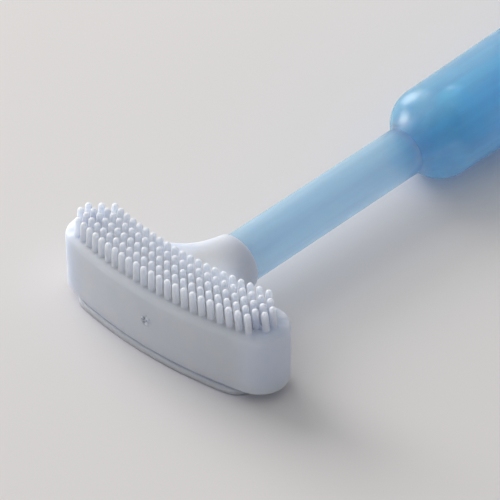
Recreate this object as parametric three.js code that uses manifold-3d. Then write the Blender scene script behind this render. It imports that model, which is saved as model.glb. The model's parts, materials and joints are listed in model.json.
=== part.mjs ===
// A T-shaped silicone pet toothbrush, in millimetres, +Z up.
// The soft head has five curved rows of pegs and pulls off its stem; the tapered grip is hollow,
// and a plug closes its far end. Every part is laid out round the handle's axis, which is the Y axis,
// with the pegs towards +Z. At the end the whole brush is tipped and lifted to lie on the plane z = 0.
import * as THREE from "three";
import { mergeVertices } from "three/addons/utils/BufferGeometryUtils.js";
import Module from "manifold-3d";

const wasm = await Module();
wasm.setup();

// ---------------------------------------------------------------- driving dimensions
const GAP = 0.3; // clearance kept between neighbouring parts

// The field of pegs: straight columns, and rows that all follow the same shallow arc.
const COLUMNS_EACH_SIDE = [11, 12, 12, 11, 10]; // front row first
const PITCH_X = 1.58;
const PITCH_Y = 1.62;
const FRONT_ROW_Y = -19.7;
const ARC_RADIUS = 75.2;
const PEG_RADIUS = 0.52;
const PEG_LENGTH = 3.3;
const PEG_ROOT = 0.3; // how far a peg reaches into the deck
const PEG_LEAN = THREE.MathUtils.degToRad(6.5); // towards the middle, at the outermost column
const PEG_SIDES = 6;

// The head: a crescent block with a rounded top edge, and a flared collar behind it. Its ends slant
// inwards towards the back, so its length is greatest at the front.
const HEAD_HALF_LENGTH = 22;
const END_SLANT = 0.0114; // share of the length lost for each millimetre towards the back
const HEAD_FRONT_Y = -21.2;
const HEAD_BACK_Y = -11.75;
const HEAD_CORNER = 4.5;
const HEAD_EDGE = 1.2; // rounding of the top edge
const DECK_Z = 4.98;
const HEAD_BOTTOM_Z = -4.9;
const DECK_THICKNESS = 0.6;
const WALL = 1.6;
const COLLAR_RIM_Y = -1.9;
const COLLAR_RIM_RADIUS = 4.6;
const COLLAR_ROOT_Y = -12.5;
const COLLAR_ROOT_HALF_WIDTH = 11.5;
const COLLAR_HALF_HEIGHT = 4.65;
const COLLAR_BEND = new THREE.Vector2(7, -8.5); // the point that the flare's curve bends towards
const COLLAR_LIP = 0.25;
const COLLAR_OVERLAP = 1.5; // how far the collar's root reaches into the block
const COLLAR_BORE_RADIUS = 3.8;

// The stiff core inside the head.
const CORE_BOTTOM_Z = -3.6;
const CORE_HALF_LENGTH = 17.2;
const CORE_CORNER = 2.2;
const BOSS_RADIUS = COLLAR_BORE_RADIUS - GAP;
const BOSS_END_Y = -6;
const SOCKET_HALF = 2; // half the side of the square socket
const SOCKET_FLOOR_Y = -16.2;

// The plate that closes the head underneath.
const PLATE_HALF_LENGTH = 17.9;
const PLATE_INSET = 0.2;
const PLATE_THICKNESS = 1.1;
const PLATE_BOTTOM_Z = -6.3;
const PLATE_CORNER = 3.4;

// The stem: a round neck, a square spigot in front and a round tang behind.
const NECK_RADIUS = 4;
const NECK_END_Y = 36.1;
const TANG_RADIUS = 2.8;
const TANG_END_Y = 48.8;

// The grip: an S-shaped shoulder, a straight taper and a rounded end.
const GRIP_START_Y = NECK_END_Y + GAP;
const SHOULDER_END_Y = 44.2;
const SHOULDER_END_RADIUS = 7.75;
const TAPER_END_Y = 118;
const GRIP_END_Y = 130;
const GRIP_END_RADIUS = 8.3;
const TANG_SOCKET_END_Y = 50;
const GRIP_BORE_RADIUS = 5;
const GRIP_END_BEND = 0.12; // how far the taper swells on before its end draws in
const GRIP_END_BEND_LENGTH = 7;

// The end plug.
const DOME_LENGTH = 5.5;
const PLUG_LENGTH = 8;
const PLUG_LEAD_WIDTH = 0.4;
const PLUG_LEAD_LENGTH = 0.8;

const CUT = 1; // how far a cutting solid reaches past the face that it opens
const ROUND_SIDES = 40;

// The grip's taper runs on in a straight line to the front edge of the plate, so that the brush lies
// on both: this slope sets the taper and also how far the brush is tipped.
const PLATE_FRONT_Y = HEAD_FRONT_Y + PLATE_INSET;
const REST_SLOPE = (SHOULDER_END_RADIUS + PLATE_BOTTOM_Z) / (SHOULDER_END_Y - PLATE_FRONT_Y);
const TAPER_END_RADIUS = SHOULDER_END_RADIUS + REST_SLOPE * (TAPER_END_Y - SHOULDER_END_Y);

// ---------------------------------------------------------------- solids
function solid(geometry) {
  const bare = geometry.index ? geometry.toNonIndexed() : geometry.clone();
  bare.deleteAttribute("normal");
  bare.deleteAttribute("uv");
  const merged = mergeVertices(bare, 1e-4);
  return new wasm.Manifold(
    new wasm.Mesh({
      numProp: 3,
      vertProperties: merged.attributes.position.array,
      triVerts: new Uint32Array(merged.index.array),
    }),
  );
}

function geometryOf(manifold) {
  const mesh = manifold.getMesh();
  const geometry = new THREE.BufferGeometry();
  geometry.setAttribute("position", new THREE.BufferAttribute(mesh.vertProperties, 3));
  geometry.setIndex(new THREE.BufferAttribute(mesh.triVerts, 1));
  geometry.computeVertexNormals();
  return geometry;
}

// How far the head's arc has swung back at a distance x from the middle.
function arcSetback(x) {
  return ARC_RADIUS - Math.sqrt(ARC_RADIUS ** 2 - x ** 2);
}

// A rounded rectangle in plan, with its ends slanted, bent along the head's arc.
function crescentShape(halfLength, frontY, backY, corner) {
  const sideSteps = 12;
  const cornerSteps = 4;
  const straight = halfLength - corner;
  const corners = [
    [straight, frontY + corner, -Math.PI / 2],
    [straight, backY - corner, 0],
    [-straight, backY - corner, Math.PI / 2],
    [-straight, frontY + corner, Math.PI],
  ];
  const points = [];
  corners.forEach(([cx, cy, start], side) => {
    for (let i = 0; i <= cornerSteps; i++) {
      const angle = start + (i / cornerSteps) * (Math.PI / 2);
      points.push(new THREE.Vector2(cx + corner * Math.cos(angle), cy + corner * Math.sin(angle)));
    }
    const isLongSide = side % 2 === 1;
    if (!isLongSide) return;
    const along = side === 1 ? -1 : 1;
    const y = side === 1 ? backY : frontY;
    for (let i = 1; i < sideSteps; i++) {
      points.push(new THREE.Vector2(along * straight * ((2 * i) / sideSteps - 1), y));
    }
  });
  for (const point of points) {
    point.x *= 1 - END_SLANT * (point.y - HEAD_FRONT_Y);
    point.y += arcSetback(point.x);
  }
  return new THREE.Shape(points);
}

// A crescent block between two heights, with its edges rounded where edge is more than 0.
function crescentBlock(shape, bottomZ, topZ, edge = 0) {
  const geometry = new THREE.ExtrudeGeometry(shape, {
    depth: topZ - bottomZ - 2 * edge,
    bevelEnabled: edge > 0,
    bevelThickness: edge,
    bevelSize: edge,
    bevelOffset: -edge,
    bevelSegments: 3,
    steps: 1,
  });
  geometry.translate(0, 0, bottomZ + edge);
  return solid(geometry);
}

// A round solid on the handle's axis, from [radius, y] pairs that run round it anticlockwise.
function turned(profile, sides = ROUND_SIDES) {
  return new THREE.LatheGeometry(
    profile.map(([radius, y]) => new THREE.Vector2(radius, y)),
    sides,
  );
}

function rod(radius, startY, endY) {
  return solid(
    turned([
      [0, startY],
      [radius, startY],
      [radius, endY],
      [0, endY],
    ]),
  );
}

function squareBar(halfSide, startY, endY) {
  const bar = new THREE.BoxGeometry(2 * halfSide, endY - startY, 2 * halfSide);
  bar.translate(0, (startY + endY) / 2, 0);
  return solid(bar);
}

// ---------------------------------------------------------------- the head
function peg(column, row) {
  const shaft = PEG_LENGTH + PEG_ROOT - PEG_RADIUS;
  const geometry = turned(
    [
      [0, 0],
      [PEG_RADIUS, 0],
      [PEG_RADIUS, shaft],
      [PEG_RADIUS * Math.SQRT1_2, shaft + PEG_RADIUS * Math.SQRT1_2],
      [0, shaft + PEG_RADIUS],
    ],
    PEG_SIDES,
  );
  const x = ARC_RADIUS * Math.sin((column * PITCH_X) / ARC_RADIUS);
  const y = FRONT_ROW_Y + row * PITCH_Y + arcSetback(x);
  geometry.rotateX(Math.PI / 2);
  geometry.rotateY((-PEG_LEAN * column) / Math.max(...COLUMNS_EACH_SIDE));
  geometry.translate(x, y, DECK_Z - PEG_ROOT);
  return solid(geometry);
}

// The collar flares from a round rim to an oval root as wide as it needs to be to join the block.
function collar() {
  const flare = new THREE.QuadraticBezierCurve(
    new THREE.Vector2(COLLAR_ROOT_HALF_WIDTH, COLLAR_ROOT_Y),
    COLLAR_BEND,
    new THREE.Vector2(COLLAR_RIM_RADIUS, COLLAR_RIM_Y - COLLAR_LIP),
  );
  const insideBlockY = COLLAR_ROOT_Y - COLLAR_OVERLAP;
  const geometry = turned([
    [0, insideBlockY],
    [COLLAR_ROOT_HALF_WIDTH, insideBlockY],
    ...flare.getPoints(10).map((p) => [p.x, p.y]),
    [COLLAR_RIM_RADIUS - COLLAR_LIP, COLLAR_RIM_Y],
    [0, COLLAR_RIM_Y],
  ]);
  // Rings wider than the block is high are pressed down to an oval.
  const position = geometry.attributes.position;
  for (let i = 0; i < position.count; i++) {
    const ringRadius = Math.hypot(position.getX(i), position.getZ(i));
    if (ringRadius > COLLAR_HALF_HEIGHT) {
      position.setZ(i, (position.getZ(i) * COLLAR_HALF_HEIGHT) / ringRadius);
    }
  }
  return solid(geometry);
}

function pocketShape(shrink) {
  return crescentShape(
    CORE_HALF_LENGTH + GAP - shrink,
    HEAD_FRONT_Y + WALL + shrink,
    HEAD_BACK_Y - WALL - shrink,
    CORE_CORNER,
  );
}

function brushHead() {
  const outline = crescentShape(HEAD_HALF_LENGTH, HEAD_FRONT_Y, HEAD_BACK_Y, HEAD_CORNER);
  // Only the top edge is round: the block is made too deep, and its lower edge is cut off.
  const deepBlock = crescentBlock(outline, HEAD_BOTTOM_Z - 2 * HEAD_EDGE, DECK_Z, HEAD_EDGE);
  let head = deepBlock.trimByPlane([0, 0, 1], HEAD_BOTTOM_Z).add(collar());
  COLUMNS_EACH_SIDE.forEach((columns, row) => {
    for (let column = -columns; column <= columns; column++) head = head.add(peg(column, row));
  });
  const pocket = crescentBlock(pocketShape(0), HEAD_BOTTOM_Z - CUT, DECK_Z - DECK_THICKNESS);
  const bore = rod(COLLAR_BORE_RADIUS, HEAD_BACK_Y - 2 * WALL, COLLAR_RIM_Y + CUT);
  return head.subtract(pocket).subtract(bore);
}

function headCore() {
  const block = crescentBlock(pocketShape(GAP), CORE_BOTTOM_Z, DECK_Z - DECK_THICKNESS - GAP);
  const boss = rod(BOSS_RADIUS, HEAD_BACK_Y - 2 * WALL, BOSS_END_Y);
  return block.add(boss).subtract(squareBar(SOCKET_HALF, SOCKET_FLOOR_Y, BOSS_END_Y + CUT));
}

function backPlate() {
  const outline = crescentShape(
    PLATE_HALF_LENGTH,
    PLATE_FRONT_Y,
    HEAD_BACK_Y - PLATE_INSET,
    PLATE_CORNER,
  );
  const plate = crescentBlock(outline, PLATE_BOTTOM_Z, PLATE_BOTTOM_Z + PLATE_THICKNESS);
  const tongueFootZ = PLATE_BOTTOM_Z + PLATE_THICKNESS / 2;
  const tongue = crescentBlock(pocketShape(GAP), tongueFootZ, CORE_BOTTOM_Z - GAP);
  return plate.add(tongue);
}

// ---------------------------------------------------------------- the handle
function neckStem() {
  const shoulderY = COLLAR_RIM_Y + GAP;
  const spigotRootY = BOSS_END_Y + GAP;
  const neck = solid(
    turned([
      [0, spigotRootY],
      [BOSS_RADIUS, spigotRootY],
      [BOSS_RADIUS, shoulderY],
      [NECK_RADIUS, shoulderY],
      [NECK_RADIUS, NECK_END_Y],
      [TANG_RADIUS, NECK_END_Y],
      [TANG_RADIUS, TANG_END_Y],
      [0, TANG_END_Y],
    ]),
  );
  return neck.add(squareBar(SOCKET_HALF - GAP, SOCKET_FLOOR_Y + GAP, spigotRootY + CUT));
}

// The shoulder is two equal arcs, hollow then full, that meet halfway.
function shoulderProfile() {
  const rise = SHOULDER_END_RADIUS - NECK_RADIUS;
  const run = SHOULDER_END_Y - GRIP_START_Y;
  const arcRadius = (run ** 2 + rise ** 2) / (4 * rise);
  const steps = 6;
  const half = Array.from({ length: steps + 1 }, (_, i) => {
    const y = ((i / steps) * run) / 2;
    return [arcRadius - Math.sqrt(arcRadius ** 2 - y ** 2), y];
  });
  const hollow = half.map(([r, y]) => [NECK_RADIUS + r, GRIP_START_Y + y]);
  const full = half.map(([r, y]) => [SHOULDER_END_RADIUS - r, SHOULDER_END_Y - y]).reverse();
  return [...hollow, ...full.slice(1)];
}

function gripShell() {
  const end = new THREE.QuadraticBezierCurve(
    new THREE.Vector2(TAPER_END_RADIUS, TAPER_END_Y),
    new THREE.Vector2(TAPER_END_RADIUS + GRIP_END_BEND, TAPER_END_Y + GRIP_END_BEND_LENGTH),
    new THREE.Vector2(GRIP_END_RADIUS, GRIP_END_Y),
  );
  return solid(
    turned([
      [TANG_RADIUS + GAP, GRIP_START_Y],
      ...shoulderProfile(),
      ...end.getPoints(6).map((p) => [p.x, p.y]),
      [GRIP_BORE_RADIUS, GRIP_END_Y],
      [GRIP_BORE_RADIUS, TANG_SOCKET_END_Y],
      [TANG_RADIUS + GAP, TANG_SOCKET_END_Y],
      [TANG_RADIUS + GAP, GRIP_START_Y],
    ]),
  );
}

function endPlug() {
  const baseY = GRIP_END_Y + GAP;
  const plugRadius = GRIP_BORE_RADIUS - GAP;
  const steps = 8;
  const dome = Array.from({ length: steps + 1 }, (_, i) => {
    const angle = (i / steps) * (Math.PI / 2);
    return [GRIP_END_RADIUS * Math.cos(angle), baseY + DOME_LENGTH * Math.sin(angle)];
  });
  dome[steps][0] = 0;
  return solid(
    turned([
      [0, baseY - PLUG_LENGTH],
      [plugRadius - PLUG_LEAD_WIDTH, baseY - PLUG_LENGTH],
      [plugRadius, baseY - PLUG_LENGTH + PLUG_LEAD_LENGTH],
      [plugRadius, baseY],
      ...dome,
    ]),
  );
}

// ---------------------------------------------------------------- the assembly
const brush = new THREE.Group();

function addPart(name, manifold, color, roughness) {
  const material = new THREE.MeshStandardMaterial({ color, roughness, metalness: 0 });
  const mesh = new THREE.Mesh(geometryOf(manifold), material);
  mesh.name = name;
  brush.add(mesh);
}

addPart("brush_head", brushHead(), 0xc3c7d2, 0.6);
addPart("head_core", headCore(), 0x6fa9d6, 0.4);
addPart("back_plate", backPlate(), 0xb4b8c4, 0.6);
addPart("neck_stem", neckStem(), 0x92b4cf, 0.45);
addPart("grip", gripShell(), 0x5a94c6, 0.12);
addPart("end_plug", endPlug(), 0x5a94c6, 0.12);

// Tip the brush until the taper's lowest line is level, then stand it on z = 0, with the origin
// under the middle of its box.
brush.rotation.x = Math.atan(REST_SLOPE);
brush.updateMatrixWorld(true);
const box = new THREE.Box3().setFromObject(brush, true);
brush.position.set(
  -(box.min.x + box.max.x) / 2,
  -(box.min.y + box.max.y) / 2,
  -box.min.z,
);

const toothbrush = new THREE.Group();
toothbrush.add(brush);

export default toothbrush;
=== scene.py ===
# A T-shaped silicone pet toothbrush, lying on a pale floor with its pegs up.
import json
import math

import bmesh
import bpy
from mathutils import Matrix, Vector


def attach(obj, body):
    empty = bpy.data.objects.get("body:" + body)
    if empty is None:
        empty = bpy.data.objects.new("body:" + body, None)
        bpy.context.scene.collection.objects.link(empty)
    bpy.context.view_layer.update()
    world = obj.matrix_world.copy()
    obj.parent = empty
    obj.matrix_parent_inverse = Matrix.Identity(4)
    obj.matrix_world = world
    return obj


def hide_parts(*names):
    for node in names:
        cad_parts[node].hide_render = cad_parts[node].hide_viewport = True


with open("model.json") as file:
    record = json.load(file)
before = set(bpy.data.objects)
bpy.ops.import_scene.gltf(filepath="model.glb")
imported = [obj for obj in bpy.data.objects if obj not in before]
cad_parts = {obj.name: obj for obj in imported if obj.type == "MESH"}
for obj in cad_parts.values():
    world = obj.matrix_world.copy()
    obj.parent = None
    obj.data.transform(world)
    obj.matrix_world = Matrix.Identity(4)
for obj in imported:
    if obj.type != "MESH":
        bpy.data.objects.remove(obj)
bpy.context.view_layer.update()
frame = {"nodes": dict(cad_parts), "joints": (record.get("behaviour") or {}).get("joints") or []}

# ------------------------------------------------------------------ the brush's own axes
# Everything below is laid out in millimetres in the brush's own axes: Y along the handle from the
# head to the grip, Z the way the pegs point, and X along the head. The brush lies slightly tipped,
# so BRUSH turns those axes into the frame's metres.
MM = 0.001
HALF_TURN = math.pi
QUARTER_TURN = math.pi / 2
joints = {joint["name"]: joint for joint in frame["joints"]}
ALONG = -Vector(joints["head_pull_off"]["axis"]).normalized()
ACROSS = Vector((1, 0, 0))
TURN = Matrix((ACROSS, ALONG, ACROSS.cross(ALONG))).transposed()


def tipped_box(node):
    """Lowest and highest corners of a CAD node, measured along the brush's tipped axes, in mm."""
    points = [TURN.transposed() @ v.co / MM for v in frame["nodes"][node].data.vertices]
    low = Vector([min(p[i] for p in points) for i in range(3)])
    high = Vector([max(p[i] for p in points) for i in range(3)])
    return low, high


# The brush's zero is on the neck's axis, this far behind the tip of the stem's spigot.
SPIGOT_TIP_Y = -15.9
neck_low, neck_high = tipped_box("neck_stem")
zero = Vector((0, neck_low.y - SPIGOT_TIP_Y, (neck_low.z + neck_high.z) / 2))
BRUSH = (TURN @ Matrix.Diagonal((MM, MM, MM))).to_4x4()
BRUSH.translation = TURN @ zero * MM


def brush_box(node):
    """Lowest and highest corners of a CAD node in the brush's own axes, in mm."""
    low, high = tipped_box(node)
    return low - zero, high - zero


# ------------------------------------------------------------------ driving dimensions, mm
head_low, _ = brush_box("brush_head")
_, core_high = brush_box("head_core")
plate_low, plate_high = brush_box("back_plate")
stem_low, stem_high = brush_box("neck_stem")
grip_low, grip_high = brush_box("grip")
plug_low, plug_high = brush_box("end_plug")

# The head's pegs stand in straight columns, and all five rows follow the same shallow arc. Each
# row, from the front, has a middle peg and this many on each side of it.
COLUMNS_EACH_SIDE = (11, 12, 12, 11, 10)
PITCH_X = 1.58
PITCH_Y = 1.62
ARC_RADIUS = 75.2
PEG_RADIUS = 0.52
PEG_LENGTH = 3.3
PEG_LEAN = math.radians(6.5)
PEG_FILLET = 0.14
PEG_DRAFT = 0.01
CELL_STEPS = 4

HEAD_HALF_LENGTH = 22.0
END_SLANT = 0.0114
HEAD_FRONT_Y = head_low.y
HEAD_DEPTH = 9.45
HEAD_BACK_Y = HEAD_FRONT_Y + HEAD_DEPTH
FRONT_ROW_INSET = 1.5
FRONT_ROW_Y = HEAD_FRONT_Y + FRONT_ROW_INSET
HEAD_CORNER = 4.5
HEAD_EDGE = 1.2
LOWER_EDGE = 0.25
DECK_THICKNESS = 0.6
HEAD_BOTTOM_Z = head_low.z
WALL = 1.6
WALL_STEPS = 8
EVENING_ROUNDS = 60

GAP = 0.3
DECK_Z = core_high.z + GAP + DECK_THICKNESS
RIM_RADIUS = 4.6
RIM_Y = -1.9
LIP = 0.25
BORE_RADIUS = 3.8
COLLAR_CELLS_EACH_SIDE = 7
COLLAR_STEPS = 16
COLLAR_SIDE_SWEEP = 3.6
COLLAR_SIDE_RISE = 0.5
COLLAR_TOP_SWEEP = 3.2
COLLAR_APPROACH = 5.2
COLLAR_FLARE_X = 0.3
COLLAR_FLARE_Z = 0.02
BORE_BLIND_Y = -8.0
BORE_CUT_FRONT_Y = -14.5
BORE_CUT_BACK_Y = -7.5
BORE_CUT_INSET = 0.02
POCKET_HALF_LENGTH = 17.5
POCKET_CORNER = 2.2

GATE_RADIUS = 1.0
GATE_PROUD = 0.3
GATE_ROOT = 0.4
GATE_HEIGHT_Z = 0.15
GATE_WORN_SHARE = 0.1

SEAM = 0.03
NECK_RADIUS = stem_high.x
STEM_SIDES = 96
GRIP_BORE_RADIUS = 5.0
TANG_RADIUS = 2.8


# ------------------------------------------------------------------ mesh helpers
SHARP_ANGLE = math.radians(40)


def finish_piece(name, mesh, body, nodes, material):
    """Turns a mesh in brush millimetres into a piece of the object in the frame's metres."""
    mesh.transform(BRUSH)
    mesh.materials.append(material)
    piece = bpy.data.objects.new(name, mesh)
    bpy.context.scene.collection.objects.link(piece)
    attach(piece, body)
    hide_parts(*nodes)


def to_mesh(name, bm):
    bmesh.ops.recalc_face_normals(bm, faces=bm.faces)
    mesh = bpy.data.meshes.new(name)
    bm.to_mesh(mesh)
    bm.free()
    mesh.shade_smooth()
    mesh.set_sharp_from_angle(angle=SHARP_ANGLE)
    return mesh


def combined(mesh, cutters, operation):
    """The mesh with each cutter mesh taken away or joined on."""
    piece = bpy.data.objects.new("work", mesh)
    bpy.context.scene.collection.objects.link(piece)
    helpers = []
    for cutter_mesh in cutters:
        cutter = bpy.data.objects.new("cutter", cutter_mesh)
        bpy.context.scene.collection.objects.link(cutter)
        modifier = piece.modifiers.new("cut", "BOOLEAN")
        modifier.operation = operation
        modifier.solver = "EXACT"
        modifier.object = cutter
        helpers.append(cutter)
    result = bpy.data.meshes.new_from_object(
        piece.evaluated_get(bpy.context.evaluated_depsgraph_get())
    )
    for helper in helpers + [piece]:
        bpy.data.objects.remove(helper)
    result.name = mesh.name
    result.shade_smooth()
    result.set_sharp_from_angle(angle=SHARP_ANGLE)
    return result


def add_ring(bm, points):
    return [bm.verts.new(p) for p in points]


def bridge(bm, first, second):
    count = len(first)
    for i in range(count):
        j = (i + 1) % count
        bm.faces.new((first[i], first[j], second[j], second[i]))


def lofted(name, rings):
    """A closed solid through rings of equal length, with a flat face at each end."""
    bm = bmesh.new()
    loops = [add_ring(bm, ring) for ring in rings]
    for first, second in zip(loops, loops[1:]):
        bridge(bm, first, second)
    bm.faces.new(loops[0])
    bm.faces.new(loops[-1])
    return to_mesh(name, bm)


def turned(name, profile, sides, closed=False):
    """A round solid on the handle's axis from (radius, y) pairs. Radius 0 makes a single tip, and
    a closed profile is a loop round a hollow."""
    bm = bmesh.new()
    rows = []
    for radius, y in profile:
        if radius == 0:
            rows.append([bm.verts.new((0, y, 0))])
            continue
        ring = []
        for i in range(sides):
            angle = 2 * HALF_TURN * i / sides
            ring.append(bm.verts.new((radius * math.cos(angle), y, radius * math.sin(angle))))
        rows.append(ring)
    pairs = list(zip(rows, rows[1:]))
    if closed:
        pairs.append((rows[-1], rows[0]))
    for first, second in pairs:
        for i in range(sides):
            j = (i + 1) % sides
            # A tip gives the same vertex for both of its corners, and a face may name it only once.
            corners = {first[i % len(first)]: None, first[j % len(first)]: None}
            corners.update({second[j % len(second)]: None, second[i % len(second)]: None})
            bm.faces.new(list(corners))
    return to_mesh(name, bm)


def arc_points(centre, radius, start, end, steps):
    """(radius, y) pairs on an arc, for a turned profile."""
    points = []
    for i in range(steps + 1):
        angle = start + (end - start) * i / steps
        points.append((centre[0] + radius * math.cos(angle), centre[1] + radius * math.sin(angle)))
    return points


def lerp(a, b, t):
    return a + (b - a) * t


def bezier(p0, p1, p2, p3, t):
    s = 1 - t
    return s**3 * p0 + 3 * s * s * t * p1 + 3 * s * t * t * p2 + t**3 * p3


# ------------------------------------------------------------------ the crescent
def setback(x):
    """How far the head's arc has swung back at a distance x from the middle."""
    return ARC_RADIUS - math.sqrt(ARC_RADIUS**2 - x**2)


def bent(x, y, z):
    """A point of the straight layout moved on to the arc."""
    return Vector((x, y + setback(x), z))


def slanted(x, y):
    """The head's ends draw in towards the back."""
    return x * (1 - END_SLANT * (y - HEAD_FRONT_Y))


def crescent_ring(half_length, front, back, corner, z):
    """A rounded rectangle in plan, bent along the head's arc."""
    corner_steps = 10
    long_steps = 60
    straight = half_length - corner
    points = []
    corners = (
        (straight, front + corner, -QUARTER_TURN),
        (straight, back - corner, 0),
        (-straight, back - corner, QUARTER_TURN),
        (-straight, front + corner, HALF_TURN),
    )
    for side, (cx, cy, start) in enumerate(corners):
        for i in range(corner_steps + 1):
            angle = start + QUARTER_TURN * i / corner_steps
            y = cy + corner * math.sin(angle)
            points.append(bent(slanted(cx + corner * math.cos(angle), y), y, z))
        if side % 2 == 1:
            along = -1 if side == 1 else 1
            y = back if side == 1 else front
            for i in range(1, long_steps):
                points.append(bent(slanted(along * straight * (2 * i / long_steps - 1), y), y, z))
    return points


# ------------------------------------------------------------------ the silicone head
# The head's skin starts from a field of square cells, one under each peg. The field's border is
# carried outwards and down over the rounded edges and the walls in rings, and behind the head a
# stretch of those rings is left open, where the collar flows out of the block.
CORE_X = HEAD_HALF_LENGTH - HEAD_CORNER
CORE_FRONT_Y = HEAD_FRONT_Y + HEAD_CORNER
CORE_BACK_Y = HEAD_BACK_Y - HEAD_CORNER
LONG_SIDE = 2 * CORE_X
SHORT_SIDE = CORE_BACK_Y - CORE_FRONT_Y
CORNER_RUN = HEAD_CORNER * QUARTER_TURN
OUTLINE_LENGTH = 2 * (LONG_SIDE + SHORT_SIDE) + 4 * CORNER_RUN
SAME_WAY = 1e-6


def from_outline(x, y):
    """The nearest point of the outline's core, the way out from it, and the depth inside."""
    wide = x / slanted(1, y)
    cx = max(-CORE_X, min(CORE_X, wide))
    cy = max(CORE_FRONT_Y, min(CORE_BACK_Y, y))
    away = Vector((wide - cx, y - cy))
    depth = HEAD_CORNER - away.length
    return Vector((cx, cy)), away.normalized() if away.length else away, depth


def outline_place(core, out):
    """How far round the outline a core point and its way out are, from the front's left end."""
    turn = math.atan2(out.x, -out.y) % (4 * QUARTER_TURN)
    if turn < SAME_WAY:
        return core.x + CORE_X
    place = turn * HEAD_CORNER + LONG_SIDE
    sides = (
        (QUARTER_TURN, SHORT_SIDE, core.y - CORE_FRONT_Y),
        (2 * QUARTER_TURN, LONG_SIDE, CORE_X - core.x),
        (3 * QUARTER_TURN, SHORT_SIDE, CORE_BACK_Y - core.y),
    )
    for facing, length, along in sides:
        if turn < facing - SAME_WAY:
            return place
        if turn < facing + SAME_WAY:
            return place + along
        place += length
    return place


def outline_at(place):
    """The core point and the way out at a distance round the outline."""
    corners = (
        (LONG_SIDE, Vector((-CORE_X, CORE_FRONT_Y)), Vector((1, 0))),
        (SHORT_SIDE, Vector((CORE_X, CORE_FRONT_Y)), Vector((0, 1))),
        (LONG_SIDE, Vector((CORE_X, CORE_BACK_Y)), Vector((-1, 0))),
        (SHORT_SIDE, Vector((-CORE_X, CORE_BACK_Y)), Vector((0, -1))),
    )
    place %= OUTLINE_LENGTH
    for side, (length, start, along) in enumerate(corners):
        out = Vector((along.y, -along.x))
        if place <= length:
            return start + along * place, out
        place -= length
        if place <= CORNER_RUN:
            angle = place / HEAD_CORNER
            return start + along * length, out * math.cos(angle) + along * math.sin(angle)
        place -= CORNER_RUN
    return corners[0][1], Vector((0, -1))


def way_round(start, end):
    """The signed distance round the outline from one place to another, the short way."""
    return (end - start + OUTLINE_LENGTH / 2) % OUTLINE_LENGTH - OUTLINE_LENGTH / 2


def evened(places):
    """The places round the outline, spread more evenly where they crowd."""
    for _ in range(EVENING_ROUNDS):
        before = places[-1:] + places[:-1]
        after = places[1:] + places[:1]
        spread = []
        for last, here, following in zip(before, places, after):
            shift = (way_round(here, following) - way_round(last, here)) / 4
            spread.append((here + shift) % OUTLINE_LENGTH)
        places = spread
    return places


def deck_height(depth):
    """Height of the top at a depth inside the outline, with the edge's rounding."""
    inside = max(0.0, HEAD_EDGE - depth)
    return DECK_Z - HEAD_EDGE + math.sqrt(HEAD_EDGE**2 - inside**2)


def field_x(u):
    return ARC_RADIUS * math.sin(u * PITCH_X / ARC_RADIUS)


def field_point(u, v):
    x = field_x(u)
    y = FRONT_ROW_Y + v * PITCH_Y
    return bent(x, y, deck_height(from_outline(x, y)[2]))


def field_cells():
    for row, each_side in enumerate(COLUMNS_EACH_SIDE):
        for column in range(-each_side, each_side + 1):
            yield column, row


def cell_border(column, row):
    """Field steps round a cell, anticlockwise from its front left corner, in quarter cells."""
    left = CELL_STEPS * column - CELL_STEPS // 2
    front = CELL_STEPS * row - CELL_STEPS // 2
    steps = range(CELL_STEPS)
    border = [(left + i, front) for i in steps]
    border += [(left + CELL_STEPS, front + i) for i in steps]
    border += [(left + CELL_STEPS - i, front + CELL_STEPS) for i in steps]
    border += [(left, front + CELL_STEPS - i) for i in steps]
    return border


def peg_rings():
    """(radius, height) of a peg's rings, from the fillet at its root to the crown of its dome."""
    fillet_steps = 3
    dome_steps = 5
    rings = []
    for i in range(fillet_steps + 1):
        angle = QUARTER_TURN * i / fillet_steps
        radius = PEG_RADIUS + PEG_FILLET * (1 - math.sin(angle))
        rings.append((radius, PEG_FILLET * (1 - math.cos(angle))))
    shoulder = PEG_LENGTH - PEG_RADIUS
    rings.append((PEG_RADIUS * (1 - PEG_DRAFT), shoulder / 2))
    dome_radius = PEG_RADIUS * (1 - 2 * PEG_DRAFT)
    for i in range(dome_steps):
        angle = QUARTER_TURN * i / dome_steps
        rings.append((dome_radius * math.cos(angle), shoulder + PEG_RADIUS * math.sin(angle)))
    return rings


def add_peg(bm, column, row, border):
    """Grows one peg out of its cell. The pegs fan out towards the head's ends."""
    base = field_point(column, row)
    lean = Matrix.Rotation(-PEG_LEAN * column / max(COLUMNS_EACH_SIDE), 3, "Y")
    count = len(border)
    previous = border
    for radius, height in peg_rings():
        points = []
        for i in range(count):
            angle = QUARTER_TURN * 4 * i / count - QUARTER_TURN * 1.5
            spot = Vector((radius * math.cos(angle), radius * math.sin(angle), height))
            points.append(base + lean @ spot)
        ring = add_ring(bm, points)
        bridge(bm, previous, ring)
        previous = ring
    crown = bm.verts.new(base + lean @ Vector((0, 0, PEG_LENGTH)))
    for i in range(count):
        bm.faces.new((previous[i], previous[(i + 1) % count], crown))


def field_border(cells):
    """The field's outer border as an ordered loop of quarter cell steps."""
    edges = []
    inner = set()
    for column, row in cells:
        border = cell_border(column, row)
        for a, b in zip(border, border[1:] + border[:1]):
            edges.append((a, b))
            inner.add((b, a))
    following = {a: b for a, b in edges if (a, b) not in inner}
    first = min(following)
    loop = [first]
    while following[loop[-1]] != first:
        loop.append(following[loop[-1]])
    return loop


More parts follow.
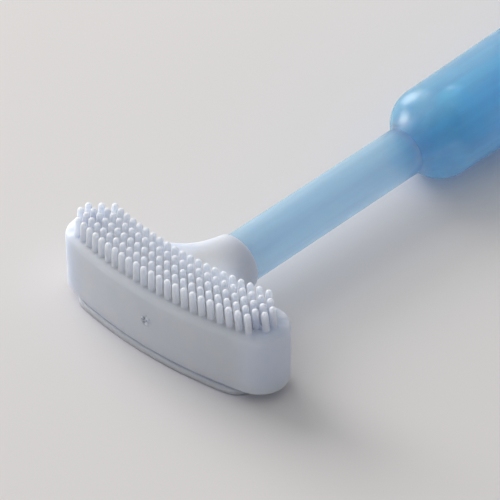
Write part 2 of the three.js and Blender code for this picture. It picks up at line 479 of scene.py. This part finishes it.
def wall_levels():
    """(depth inside the outline, height) of the rings below the field's border."""
    levels = []
    top = DECK_Z - HEAD_EDGE
    bottom = HEAD_BOTTOM_Z + LOWER_EDGE
    for degrees in (45, 28, 12):
        angle = math.radians(degrees)
        levels.append((HEAD_EDGE * (1 - math.cos(angle)), top + HEAD_EDGE * math.sin(angle)))
    for i in range(WALL_STEPS + 1):
        levels.append((0, lerp(top, bottom, i / WALL_STEPS)))
    for degrees in (30, 60, 90):
        angle = math.radians(degrees)
        levels.append((LOWER_EDGE * (1 - math.cos(angle)), bottom - LOWER_EDGE * math.sin(angle)))
    return levels


def collar_flow(start, target, side_share):
    """Points from the block to the rim: the sides sweep along the wall, the top runs straight."""
    inward = -math.copysign(COLLAR_SIDE_SWEEP, start.x) * side_share
    sweep = Vector((inward, lerp(COLLAR_TOP_SWEEP, COLLAR_SIDE_RISE, side_share), 0))
    approach = Vector((target.x * COLLAR_FLARE_X, -COLLAR_APPROACH, target.z * COLLAR_FLARE_Z))
    points = []
    for i in range(1, COLLAR_STEPS + 1):
        t = i / COLLAR_STEPS
        points.append(bezier(start, start + sweep, target + approach, target, t))
    return points


def head_skin():
    bm = bmesh.new()
    cells = list(field_cells())
    steps = {}
    for column, row in cells:
        for step in cell_border(column, row):
            if step not in steps:
                steps[step] = bm.verts.new(field_point(step[0] / CELL_STEPS, step[1] / CELL_STEPS))
    for column, row in cells:
        add_peg(bm, column, row, [steps[step] for step in cell_border(column, row)])

    loop = field_border(cells)
    rings = [[steps[step] for step in loop]]
    places = []
    for u, v in loop:
        core, out, _ = from_outline(field_x(u / CELL_STEPS), FRONT_ROW_Y + v / CELL_STEPS * PITCH_Y)
        places.append(outline_place(core, out))
    spots = [outline_at(place) for place in evened(places)]
    for depth, height in wall_levels():
        ring = []
        for core, out in spots:
            spot = core + out * (HEAD_CORNER - depth)
            ring.append(bm.verts.new(bent(slanted(spot.x, spot.y), spot.y, height)))
        rings.append(ring)

    # The collar's root is the stretch of the back wall within a few cells of the middle.
    reach = CELL_STEPS * COLLAR_CELLS_EACH_SIDE + CELL_STEPS // 2
    back_step = max(v for _, v in loop)
    is_root = [v == back_step and abs(u) <= reach for u, v in loop]
    count = len(loop)
    for upper, lower in zip(rings, rings[1:]):
        for i in range(count):
            j = (i + 1) % count
            if is_root[i] and is_root[j]:
                continue
            bm.faces.new((upper[i], upper[j], lower[j], lower[i]))
    bm.faces.new(rings[-1])
    add_collar(bm, rings, [i for i in range(count) if is_root[i]])
    return to_mesh("silicone_head", bm)


def add_collar(bm, rings, root):
    """Lofts the collar from the open stretch of the back wall to its round rim and into its bore."""
    # The loop runs along the field's back border, which goes from +X to -X.
    root.sort(key=lambda i: -rings[0][i].co.x)
    right = root[0]
    left = root[-1]
    loop = [rings[0][i] for i in root]
    loop += [ring[left] for ring in rings[1:-1]]
    loop += [rings[-1][i] for i in reversed(root)]
    loop += [ring[right] for ring in reversed(rings[1:-1])]
    count = len(loop)
    side_half = (len(rings) - 1) / count * HALF_TURN
    half_width = rings[0][right].co.x
    columns = []
    for i, vertex in enumerate(loop):
        angle = side_half + 2 * HALF_TURN * i / count
        target = Vector((RIM_RADIUS * math.cos(angle), RIM_Y - LIP, RIM_RADIUS * math.sin(angle)))
        share = min(1.0, abs(vertex.co.x) / half_width) ** 3
        columns.append(collar_flow(vertex.co, target, share))
    previous = loop
    for step in range(COLLAR_STEPS):
        ring = add_ring(bm, [column[step] for column in columns])
        bridge(bm, previous, ring)
        previous = ring
    inner = LIP / 2
    profile = arc_points((RIM_RADIUS - LIP, RIM_Y - LIP), LIP, 0, QUARTER_TURN, 4)[1:]
    profile += arc_points((BORE_RADIUS + inner, RIM_Y - inner), inner, QUARTER_TURN, HALF_TURN, 3)
    profile.append((BORE_RADIUS, BORE_BLIND_Y))
    for radius, y in profile:
        points = []
        for i in range(count):
            angle = side_half + 2 * HALF_TURN * i / count
            points.append(Vector((radius * math.cos(angle), y, radius * math.sin(angle))))
        ring = add_ring(bm, points)
        bridge(bm, previous, ring)
        previous = ring
    bm.faces.new(previous)


def pocket_ring(shrink, z):
    return crescent_ring(
        POCKET_HALF_LENGTH - shrink,
        HEAD_FRONT_Y + WALL + shrink,
        HEAD_BACK_Y - WALL - shrink,
        POCKET_CORNER,
        z,
    )


def gate_mark():
    """The small round scar of the moulding gate on the front wall: a low ring with a torn tip."""
    front = HEAD_FRONT_Y
    crest = GATE_RADIUS * 0.72
    hollow = GATE_RADIUS * 0.36
    tip_foot = GATE_RADIUS * 0.22
    tip_side = GATE_RADIUS * 0.12
    tip_height = GATE_PROUD * 1.4
    profile = [(0, front + GATE_ROOT), (GATE_RADIUS, front + GATE_ROOT), (GATE_RADIUS, front)]
    profile += arc_points((crest, front), GATE_RADIUS - crest, 0, -HALF_TURN, 6)[1:]
    profile += [(hollow, front + GATE_PROUD), (tip_foot, front)]
    profile += [(tip_side, front - GATE_PROUD), (0, front - tip_height)]
    mesh = turned("gate_mark", profile, 24)
    for vertex in mesh.vertices:
        # The ring is worn down on one side.
        if vertex.co.y < front:
            left = lerp(1, GATE_WORN_SHARE, (1 - vertex.co.x / GATE_RADIUS) / 2)
            vertex.co.y = front + (vertex.co.y - front) * left
    mesh.transform(Matrix.Translation((0, 0, GATE_HEIGHT_Z)))
    return mesh


def silicone_head(material):
    skin = head_skin()
    pocket_rings = [pocket_ring(0, HEAD_BOTTOM_Z - 1), pocket_ring(0, core_high.z + GAP)]
    pocket = lofted("pocket", pocket_rings)
    cut_radius = BORE_RADIUS - BORE_CUT_INSET
    profile = [(0, BORE_CUT_FRONT_Y), (cut_radius, BORE_CUT_FRONT_Y)]
    profile += [(cut_radius, BORE_CUT_BACK_Y), (0, BORE_CUT_BACK_Y)]
    bore = turned("bore", profile, STEM_SIDES)
    mesh = combined(skin, [pocket, bore], "DIFFERENCE")
    mesh = combined(mesh, [gate_mark()], "UNION")
    finish_piece("silicone_head", mesh, "head", ["brush_head"], material)


# ------------------------------------------------------------------ the plate under the head
PLATE_HALF_LENGTH = 17.9
PLATE_PROUD = 0.12
PLATE_CORNER = 3.4
PLATE_THICKNESS = 1.1
PLATE_EDGE = 0.35
PLATE_EDGE_STEPS = 4
PLATE_LEAD_IN = 0.2


def plate_ring(shrink, z):
    return crescent_ring(
        PLATE_HALF_LENGTH - shrink,
        HEAD_FRONT_Y - PLATE_PROUD + shrink,
        HEAD_BACK_Y + PLATE_PROUD - shrink,
        PLATE_CORNER - shrink,
        z,
    )


def back_plate(material):
    """A slab with rounded edges, and on it the shallow tongue that fills the pocket's mouth."""
    shelf_z = plate_low.z + PLATE_THICKNESS
    angles = [QUARTER_TURN * i / PLATE_EDGE_STEPS for i in range(PLATE_EDGE_STEPS + 1)]
    rings = []
    for angle in angles:
        height = plate_low.z + PLATE_EDGE * (1 - math.cos(angle))
        rings.append(plate_ring(PLATE_EDGE * (1 - math.sin(angle)), height))
    for angle in angles:
        height = shelf_z - PLATE_EDGE * (1 - math.sin(angle))
        rings.append(plate_ring(PLATE_EDGE * (1 - math.cos(angle)), height))
    rings.append(pocket_ring(GAP, shelf_z))
    rings.append(pocket_ring(GAP, plate_high.z - PLATE_LEAD_IN))
    rings.append(pocket_ring(GAP + PLATE_LEAD_IN, plate_high.z))
    mesh = lofted("plate", rings)
    finish_piece("back_plate_fine", mesh, "head", ["back_plate"], material)


# ------------------------------------------------------------------ the stem
BOSS_FRONT_Y = -5.7
SPIGOT_WIDTH = 3.4
SPIGOT_EDGE = 0.25
NECK_EDGE = 0.15
TANG_CHAMFER = 0.5


def spigot():
    """The square pin at the stem's front, run a little way into the boss."""
    bm = bmesh.new()
    bmesh.ops.create_cube(bm, size=1)
    length = BOSS_FRONT_Y + 1 - stem_low.y
    for vertex in bm.verts:
        vertex.co.x *= SPIGOT_WIDTH
        vertex.co.z *= SPIGOT_WIDTH
        vertex.co.y = stem_low.y + length * (vertex.co.y + 0.5)
    edges = bm.edges[:]
    bmesh.ops.bevel(bm, geom=edges, offset=SPIGOT_EDGE, segments=2, affect="EDGES", profile=0.5)
    return to_mesh("spigot", bm)


def stem(material):
    boss_radius = BORE_RADIUS - GAP
    neck_start_y = RIM_Y + GAP
    neck_end_y = grip_low.y - SEAM
    edge = (NECK_RADIUS - NECK_EDGE, neck_start_y + NECK_EDGE)
    profile = [(0, BOSS_FRONT_Y), (boss_radius, BOSS_FRONT_Y), (boss_radius, neck_start_y)]
    profile += arc_points(edge, NECK_EDGE, -QUARTER_TURN, 0, 3)
    profile += [(NECK_RADIUS, neck_end_y), (TANG_RADIUS, neck_end_y)]
    profile += [(TANG_RADIUS, stem_high.y - TANG_CHAMFER)]
    profile += [(TANG_RADIUS - TANG_CHAMFER, stem_high.y), (0, stem_high.y)]
    mesh = combined(turned("stem", profile, STEM_SIDES), [spigot()], "UNION")
    finish_piece("stem_frosted", mesh, "handle", ["neck_stem"], material)


# ------------------------------------------------------------------ the grip and its plug
SHOULDER_RUN = 7.8
SHOULDER_RADIUS = 7.75
SHOULDER_STEPS = 14
TAPER_STEPS = 8
TAPER_END_Y = 118
TAIL_BULGE = 0.12
TAIL_REACH = 7
GRIP_END_RADIUS = plug_high.x
SOCKET_END_Y = 50
SOCKET_EDGE = 1
PLUG_TIP_CHAMFER = 0.4
PLUG_TIP_RUN = 0.8
DOME_STEPS = 16
GRIP_SIDES = 128


def shoulder_profile():
    """The S between the neck and the grip: a hollow arc, then the same arc turned over."""
    rise = SHOULDER_RADIUS - NECK_RADIUS
    arc = (SHOULDER_RUN**2 + rise**2) / (4 * rise)
    hollow = []
    for i in range(SHOULDER_STEPS + 1):
        y = SHOULDER_RUN / 2 * i / SHOULDER_STEPS
        hollow.append((arc - math.sqrt(arc**2 - y**2), y))
    start = grip_low.y
    end = start + SHOULDER_RUN
    profile = [(NECK_RADIUS + r, start + y) for r, y in hollow]
    return profile + [(SHOULDER_RADIUS - r, end - y) for r, y in reversed(hollow[:-1])]


def grip_body_profile():
    """The straight taper, then a rounded tail that closes in to the plug's dome."""
    shoulder_end = grip_low.y + SHOULDER_RUN
    widest = grip_high.x
    profile = []
    for i in range(1, TAPER_STEPS + 1):
        t = i / TAPER_STEPS
        profile.append((lerp(SHOULDER_RADIUS, widest, t), lerp(shoulder_end, TAPER_END_Y, t)))
    for i in range(1, TAPER_STEPS + 1):
        t = i / TAPER_STEPS
        s = 1 - t
        radius = s * s * widest + 2 * s * t * (widest + TAIL_BULGE) + t * t * GRIP_END_RADIUS
        y = s * s * TAPER_END_Y + 2 * s * t * (TAPER_END_Y + TAIL_REACH) + t * t * grip_high.y
        profile.append((radius, y))
    return profile


def grip(material):
    bore_end = SOCKET_END_Y + SOCKET_EDGE
    socket = TANG_RADIUS + GAP
    edge = (GRIP_BORE_RADIUS - SOCKET_EDGE, bore_end)
    profile = shoulder_profile() + grip_body_profile()
    profile += [(GRIP_BORE_RADIUS, grip_high.y), (GRIP_BORE_RADIUS, bore_end)]
    profile += arc_points(edge, SOCKET_EDGE, 0, -QUARTER_TURN, 4)[1:]
    profile += [(socket, SOCKET_END_Y), (socket, grip_low.y)]
    mesh = turned("grip", profile, GRIP_SIDES, closed=True)
    finish_piece("grip_clear", mesh, "handle", ["grip"], material)


def end_plug(material):
    """A dome that carries on the grip's outline, on a stem that fits the grip's bore."""
    base_y = grip_high.y + GAP
    plug_radius = GRIP_BORE_RADIUS - GAP
    dome = plug_high.y - base_y
    profile = [(0, plug_low.y), (plug_radius - PLUG_TIP_CHAMFER, plug_low.y)]
    profile += [(plug_radius, plug_low.y + PLUG_TIP_RUN), (plug_radius, base_y)]
    for i in range(DOME_STEPS):
        angle = QUARTER_TURN * i / DOME_STEPS
        profile.append((GRIP_END_RADIUS * math.cos(angle), base_y + dome * math.sin(angle)))
    profile.append((0, plug_high.y))
    mesh = turned("end_plug_fine", profile, GRIP_SIDES)
    finish_piece("end_plug_fine", mesh, "plug", ["end_plug"], material)


# ------------------------------------------------------------------ materials
HEAD_PALE = (0.68, 0.73, 0.87, 1)
HEAD_DEEP = (0.64, 0.70, 0.85, 1)
# The plate's colours are the head's silicone painted brighter and bluer: painted light that lifts
# the shade and warm floor light under the head.
PLATE_PALE_PAINTED_LIGHT = (0.68, 0.75, 0.97, 1)
PLATE_DEEP_PAINTED_LIGHT = (0.64, 0.72, 0.95, 1)
# Paler colour laid between the pegs: painted light standing in for light scattered in the silicone.
ROOT_PAINTED_LIGHT = (0.90, 0.94, 1.0, 1)
# Dark colour in the gate mark's hollow: painted shade for the crater.
GATE_PAINTED_SHADE = (0.25, 0.27, 0.32, 1)
NECK_BLUE = (0.27, 0.53, 0.88)
GRIP_BLUE = (0.13, 0.52, 1.0)
CORE_BLUE = (0.2, 0.5, 0.86)
FLOOR_PALE = (0.75, 0.732, 0.722, 1)
FLOOR_DEEP = (0.735, 0.715, 0.705, 1)


def new_material(name):
    material = bpy.data.materials.new(name)
    material.use_nodes = True
    nodes = material.node_tree.nodes
    shader = nodes["Principled BSDF"]
    return material, nodes, material.node_tree.links, shader


def noise(nodes, links, vector, scale, detail):
    node = nodes.new("ShaderNodeTexNoise")
    node.inputs["Scale"].default_value = scale
    node.inputs["Detail"].default_value = detail
    links.new(vector, node.inputs["Vector"])
    return node.outputs["Fac"]


def ramp(nodes, links, factor, low, high):
    """A colour that goes from one (position, colour) stop to another."""
    node = nodes.new("ShaderNodeValToRGB")
    elements = node.color_ramp.elements
    elements[0].position, elements[0].color = low
    elements[1].position, elements[1].color = high
    links.new(factor, node.inputs["Fac"])
    return node.outputs["Color"]


def overlaid(nodes, links, base, colour, share):
    """The base colour with a share of another laid over it."""
    node = nodes.new("ShaderNodeMix")
    node.data_type = "RGBA"
    node.inputs["B"].default_value = colour
    links.new(share, node.inputs["Factor"])
    links.new(base, node.inputs["A"])
    return node.outputs["Result"]


def roughen(nodes, links, shader, grain, low, high):
    node = nodes.new("ShaderNodeMapRange")
    node.inputs["To Min"].default_value = low
    node.inputs["To Max"].default_value = high
    links.new(grain, node.inputs["Value"])
    links.new(node.outputs["Result"], shader.inputs["Roughness"])


def bump(nodes, links, shader, height, strength, distance):
    node = nodes.new("ShaderNodeBump")
    node.inputs["Strength"].default_value = strength
    node.inputs["Distance"].default_value = distance
    links.new(height, node.inputs["Height"])
    links.new(node.outputs["Normal"], shader.inputs["Normal"])


def brush_axes(nodes, links):
    """Texture coordinates in brush millimetres: X across, Y along the handle, Z up the pegs."""
    coordinates = nodes.new("ShaderNodeTexCoord").outputs["Object"]
    scaled = nodes.new("ShaderNodeMapping")
    scaled.vector_type = "TEXTURE"
    scaled.inputs["Location"].default_value = BRUSH.translation
    scaled.inputs["Rotation"].default_value = BRUSH.to_euler()
    scaled.inputs["Scale"].default_value = (MM, MM, MM)
    links.new(coordinates, scaled.inputs["Vector"])
    return scaled.outputs["Vector"]


def stretch(nodes, links, value, low, high):
    """The value as a share of the way from low to high, held within 0 and 1."""
    node = nodes.new("ShaderNodeMapRange")
    node.inputs["From Min"].default_value = low
    node.inputs["From Max"].default_value = high
    links.new(value, node.inputs["Value"])
    return node.outputs["Result"]


def product(nodes, links, first, second):
    node = nodes.new("ShaderNodeMath")
    node.operation = "MULTIPLY"
    links.new(first, node.inputs[0])
    links.new(second, node.inputs[1])
    return node.outputs["Value"]


def distance_to(nodes, links, place, point):
    node = nodes.new("ShaderNodeVectorMath")
    node.operation = "DISTANCE"
    links.new(place, node.inputs[0])
    node.inputs[1].default_value = point
    return node.outputs["Value"]


GLOW_BORDER = 1.0
GLOW_BORDER_FADE = 1.2
GLOW_END_FADE = 2.0
GLOW_DECK_START = -0.15
GLOW_DECK_FULL = -0.02
GLOW_FADE_START = 1.8
GLOW_FADE_END = 3.0


def painted_light_mask(nodes, links, place, strength):
    """Painted light between the pegs: a paler colour that stands in for the light scattered in the
    silicone there. It is full on the deck and round the pegs' lower halves, and fades towards their
    tips and towards the deck's border."""
    parts = nodes.new("ShaderNodeSeparateXYZ")
    links.new(place, parts.inputs["Vector"])
    flat = nodes.new("ShaderNodeVectorMath")
    flat.operation = "MULTIPLY"
    flat.inputs[1].default_value = (1, 1, 0)
    links.new(place, flat.inputs[0])
    ends = nodes.new("ShaderNodeMath")
    ends.operation = "ABSOLUTE"
    links.new(parts.outputs["X"], ends.inputs[0])
    radius = distance_to(nodes, links, flat.outputs["Vector"], (0, HEAD_FRONT_Y + ARC_RADIUS, 0))
    front = ARC_RADIUS - GLOW_BORDER
    back = ARC_RADIUS - HEAD_DEPTH + GLOW_BORDER
    end = core_high.x
    height = parts.outputs["Z"]
    limits = (
        (radius, front, front - GLOW_BORDER_FADE),
        (radius, back, back + GLOW_BORDER_FADE),
        (ends.outputs["Value"], end, end - GLOW_END_FADE),
        (height, DECK_Z + GLOW_DECK_START, DECK_Z + GLOW_DECK_FULL),
        (height, DECK_Z + GLOW_FADE_END, DECK_Z + GLOW_FADE_START),
    )
    level = nodes.new("ShaderNodeValue").outputs["Value"]
    level.default_value = strength
    for value, none, full in limits:
        level = product(nodes, links, level, stretch(nodes, links, value, none, full))
    return level


def gate_shade_mask(nodes, links, place):
    """Painted shade in the hollow of the gate mark, and in patches round its ring, where the
    crater's own shading is washed out.
    """
    from_gate = distance_to(nodes, links, place, (0, HEAD_FRONT_Y, GATE_HEIGHT_Z))
    near = stretch(nodes, links, from_gate, low=GATE_RADIUS * 1.15, high=GATE_RADIUS * 0.5)
    patches = noise(nodes, links, place, scale=1.6, detail=2)
    torn = stretch(nodes, links, patches, low=0.42, high=0.54)
    return product(nodes, links, near, torn)


def silicone(name, pale, deep, painted_light):
    """Soft milky silicone: fine mould grain, faint cloudiness, light scattered inside it, with
    painted light between the pegs and painted shade in the gate mark's hollow.
    """
    material, nodes, links, shader = new_material(name)
    place = brush_axes(nodes, links)
    cloud = noise(nodes, links, place, scale=0.26, detail=3)
    colour = ramp(nodes, links, cloud, (0.3, deep), (0.7, pale))
    # Painted light between the pegs.
    colour = overlaid(nodes, links, colour, ROOT_PAINTED_LIGHT, painted_light_mask(nodes, links, place, painted_light))
    # Painted shade in the gate mark's hollow and in patches round its ring.
    colour = overlaid(nodes, links, colour, GATE_PAINTED_SHADE, gate_shade_mask(nodes, links, place))
    links.new(colour, shader.inputs["Base Color"])
    grain = noise(nodes, links, place, scale=5.2, detail=4)
    roughen(nodes, links, shader, grain, low=0.42, high=0.58)
    bump(nodes, links, shader, grain, strength=0.25, distance=0.03 * MM)
    shader.inputs["Subsurface Weight"].default_value = 0.9
    shader.inputs["Subsurface Radius"].default_value = (0.9, 1.0, 1.15)
    shader.inputs["Subsurface Scale"].default_value = 0.005
    shader.inputs["IOR"].default_value = 1.41
    shader.inputs["Specular IOR Level"].default_value = 0.3
    return material


def clear_plastic(name, tint, roughness, grain_scale, transmission, alpha):
    """Milky tinted plastic. The grain is the frosting of a blasted mould, or its polish, and the
    tint runs in faint streaks along the handle, the way that the plastic filled the mould."""
    material, nodes, links, shader = new_material(name)
    place = brush_axes(nodes, links)
    streak_space = nodes.new("ShaderNodeMapping")
    streak_space.inputs["Scale"].default_value = (1, 0.06, 1)
    links.new(place, streak_space.inputs["Vector"])
    flow = noise(nodes, links, streak_space.outputs["Vector"], scale=0.5, detail=2)
    dark = tuple(channel * 0.86 for channel in tint) + (1,)
    colour = ramp(nodes, links, flow, (0.35, dark), (0.65, tint + (1,)))
    links.new(colour, shader.inputs["Base Color"])
    grain = noise(nodes, links, place, scale=grain_scale, detail=3)
    roughen(nodes, links, shader, grain, low=roughness * 0.85, high=roughness * 1.15)
    bump(nodes, links, shader, grain, strength=0.3, distance=0.02 * MM)
    shader.inputs["Transmission Weight"].default_value = transmission
    shader.inputs["Subsurface Weight"].default_value = 1.0
    shader.inputs["Subsurface Radius"].default_value = (0.8, 1.0, 1.2)
    shader.inputs["Subsurface Scale"].default_value = 0.03
    shader.inputs["IOR"].default_value = 1.49
    shader.inputs["Alpha"].default_value = alpha
    return material


def floor_material():
    material, nodes, links, shader = new_material("pale_floor")
    coordinates = nodes.new("ShaderNodeTexCoord").outputs["Object"]
    mottle = noise(nodes, links, coordinates, scale=9, detail=3)
    colour = ramp(nodes, links, mottle, (0.3, FLOOR_DEEP), (0.7, FLOOR_PALE))
    links.new(colour, shader.inputs["Base Color"])
    shader.inputs["Roughness"].default_value = 0.75
    shader.inputs["Specular IOR Level"].default_value = 0.2
    return material


# ------------------------------------------------------------------ the camera
CAMERA_AZIMUTH = math.radians(42.15)
CAMERA_ELEVATION = math.radians(36.15)
CAMERA_ROLL = math.radians(0.95)
CAMERA_DISTANCE = 0.430
CAMERA_TARGET = Vector((-0.00041, -0.05563, 0.0068))
SENSOR = 36
CAMERA_LENS = 206.93


def add_camera():
    back = Vector(
        (
            math.sin(CAMERA_AZIMUTH) * math.cos(CAMERA_ELEVATION),
            -math.cos(CAMERA_AZIMUTH) * math.cos(CAMERA_ELEVATION),
            math.sin(CAMERA_ELEVATION),
        )
    )
    level = Vector((math.cos(CAMERA_AZIMUTH), math.sin(CAMERA_AZIMUTH), 0))
    upright = back.cross(level)
    right = level * math.cos(CAMERA_ROLL) + upright * math.sin(CAMERA_ROLL)
    up = back.cross(right)
    data = bpy.data.cameras.new("camera")
    data.lens = CAMERA_LENS
    data.sensor_width = SENSOR
    data.clip_start = 0.01
    data.clip_end = 20
    camera = bpy.data.objects.new("camera", data)
    facing = Matrix((right, up, back)).transposed().to_4x4()
    camera.matrix_world = Matrix.Translation(CAMERA_TARGET + back * CAMERA_DISTANCE) @ facing
    bpy.context.scene.collection.objects.link(camera)
    bpy.context.scene.camera = camera


# ------------------------------------------------------------------ floor and light
FLOOR_HALF_WIDTH = 2.0
LIGHTS_AIM = Vector((0, -0.04, 0))
WINDOW_DISTANCE = 1.2
WINDOW_SIDE = Vector((-0.87, 0.0, 0.5))
ROOM_WHITE = (0.97, 0.98, 1.0, 1)
ROOM_DIM = 0.08
ROOM_BRIGHT = 0.72


def add_floor():
    bm = bmesh.new()
    bmesh.ops.create_grid(bm, x_segments=8, y_segments=8, size=FLOOR_HALF_WIDTH)
    mesh = bpy.data.meshes.new("floor")
    bm.to_mesh(mesh)
    bm.free()
    mesh.materials.append(floor_material())
    floor = bpy.data.objects.new("floor", mesh)
    bpy.context.scene.collection.objects.link(floor)


def add_softbox(name, azimuth, elevation, side, power, colour):
    """A square soft light. Its azimuth and elevation in degrees are measured like the camera's."""
    turn = math.radians(azimuth)
    rise = math.radians(elevation)
    towards = Vector(
        (math.sin(turn) * math.cos(rise), -math.cos(turn) * math.cos(rise), math.sin(rise))
    )
    data = bpy.data.lights.new(name, "AREA")
    data.shape = "SQUARE"
    data.size = side
    data.energy = power
    data.color = colour
    light = bpy.data.objects.new(name, data)
    light.matrix_world = (
        Matrix.Translation(LIGHTS_AIM + towards * WINDOW_DISTANCE)
        @ towards.to_track_quat("Z", "Y").to_matrix().to_4x4()
    )
    bpy.context.scene.collection.objects.link(light)


def add_light():
    add_softbox("low_window", 268, 19, side=0.66, power=9.4, colour=(1.0, 0.98, 0.95))
    add_softbox("high_window", 257, 36, side=0.8, power=5.4, colour=(1.0, 0.97, 0.94))
    add_room()
    bpy.context.scene.view_settings.view_transform = "Standard"


def add_room():
    """The room's own light: pale walls that are brighter towards the windows."""
    world = bpy.data.worlds.new("room")
    world.use_nodes = True
    nodes = world.node_tree.nodes
    links = world.node_tree.links
    direction = nodes.new("ShaderNodeTexCoord").outputs["Generated"]
    towards_window = nodes.new("ShaderNodeVectorMath")
    towards_window.operation = "DOT_PRODUCT"
    towards_window.inputs[1].default_value = WINDOW_SIDE
    links.new(direction, towards_window.inputs[0])
    level = nodes.new("ShaderNodeMapRange")
    level.inputs["From Min"].default_value = -1
    level.inputs["To Min"].default_value = ROOM_DIM
    level.inputs["To Max"].default_value = ROOM_BRIGHT
    links.new(towards_window.outputs["Value"], level.inputs["Value"])
    background = nodes["Background"]
    background.inputs["Color"].default_value = ROOM_WHITE
    links.new(level.outputs["Result"], background.inputs["Strength"])
    bpy.context.scene.world = world


# ------------------------------------------------------------------ the assembly
def main():
    add_camera()
    add_floor()
    add_light()
    silicone_head(silicone("head_silicone", HEAD_PALE, HEAD_DEEP, painted_light=1.0))
    back_plate(silicone("plate_silicone", PLATE_PALE_PAINTED_LIGHT, PLATE_DEEP_PAINTED_LIGHT, painted_light=0.0))
    frosted = {"roughness": 0.5, "grain_scale": 4.2, "transmission": 0.3, "alpha": 0.58}
    moulded = {"roughness": 0.3, "grain_scale": 2.4, "transmission": 0.3, "alpha": 0.9}
    polished = {"roughness": 0.23, "grain_scale": 0.9, "transmission": 0.4}
    stem(clear_plastic("neck_plastic", NECK_BLUE, **frosted))
    grip(clear_plastic("grip_plastic", GRIP_BLUE, **polished, alpha=0.62))
    end_plug(clear_plastic("plug_plastic", GRIP_BLUE, **polished, alpha=0.8))
    core = frame["nodes"]["head_core"]
    core.data.materials.clear()
    core.data.materials.append(clear_plastic("core_plastic", CORE_BLUE, **moulded))


main()
